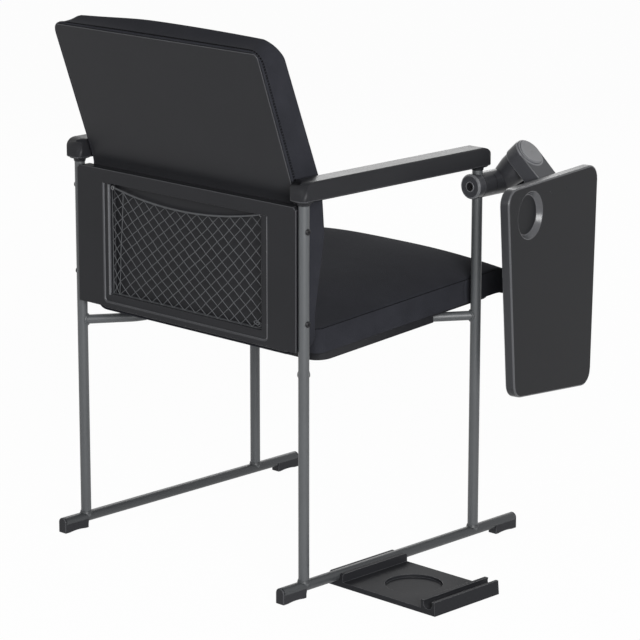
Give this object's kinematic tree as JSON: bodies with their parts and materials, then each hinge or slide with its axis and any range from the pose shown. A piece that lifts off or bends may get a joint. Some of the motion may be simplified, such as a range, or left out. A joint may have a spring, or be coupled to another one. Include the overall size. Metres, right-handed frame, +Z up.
{
  "type": "visitor chair",
  "caption": "Tubular visitor chair with upholstered seat and back, armrests, rear net pocket, swing-over writing tablet and a floor link plate for joining chairs in a row.",
  "frame": {"origin": "on the floor, under the middle of the bounding box of the whole chair with its tablet hanging and its link plate on", "axes": "+Z up, the sitter faces -Y, +X to the sitter's left"},
  "size_m": [0.7746, 0.7135, 0.9213],
  "materials": {
    "frame_tube": "satin grey powder coat",
    "moulding": "fine matt grain",
    "upholstery": "dark grey felted weave over foam",
    "steel": "plain zinc",
    "net": "knotless mesh cord",
    "cap": "light grey satin",
    "tablet": "fine matt grain"
  },
  "bodies": {
    "frame": {"leg_rear_left": "frame_tube", "leg_rear_right": "frame_tube", "leg_front_left": "frame_tube", "leg_front_right": "frame_tube", "rail_left": "frame_tube", "rail_right": "frame_tube", "seat_bar_left": "frame_tube", "seat_bar_right": "frame_tube", "glide_rear_left": "moulding", "glide_rear_right": "moulding", "glide_front_left": "moulding", "glide_front_right": "moulding", "armrest_left": "moulding", "armrest_right": "moulding", "seat_saddles": "moulding", "saddle_screws": "steel", "seat_pan": "moulding", "seat_cushion": "upholstery", "back_shell": "moulding", "back_cushion": "upholstery", "pocket_panel": "moulding", "panel_screws": "steel", "pocket_frame": "moulding", "pocket_net": "net", "net_hem": "net", "tablet_clamp": "moulding", "clamp_bolt": "steel", "tablet_arm": "moulding", "pivot_pin": "steel", "friction_washer": "steel"},
    "tablet": {"swivel_head": "moulding", "pivot_cap": "cap", "tablet_screws": "steel", "tablet_board": "tablet"},
    "link": {"row_link": "moulding"}
  },
  "joints": [
    {"name": "tablet_swing", "type": "hinge", "parent": "frame", "child": "tablet", "pos_m": [-0.1667, -0.20064, 0.626], "axis": [-0.6964, -0.1228, 0.7071], "range_deg": [0, 180]},
    {"name": "link_slide", "type": "slide", "parent": "frame", "child": "link", "axis": [0, 1, 0], "range_m": [-0.17, 0.062]}
  ]
}
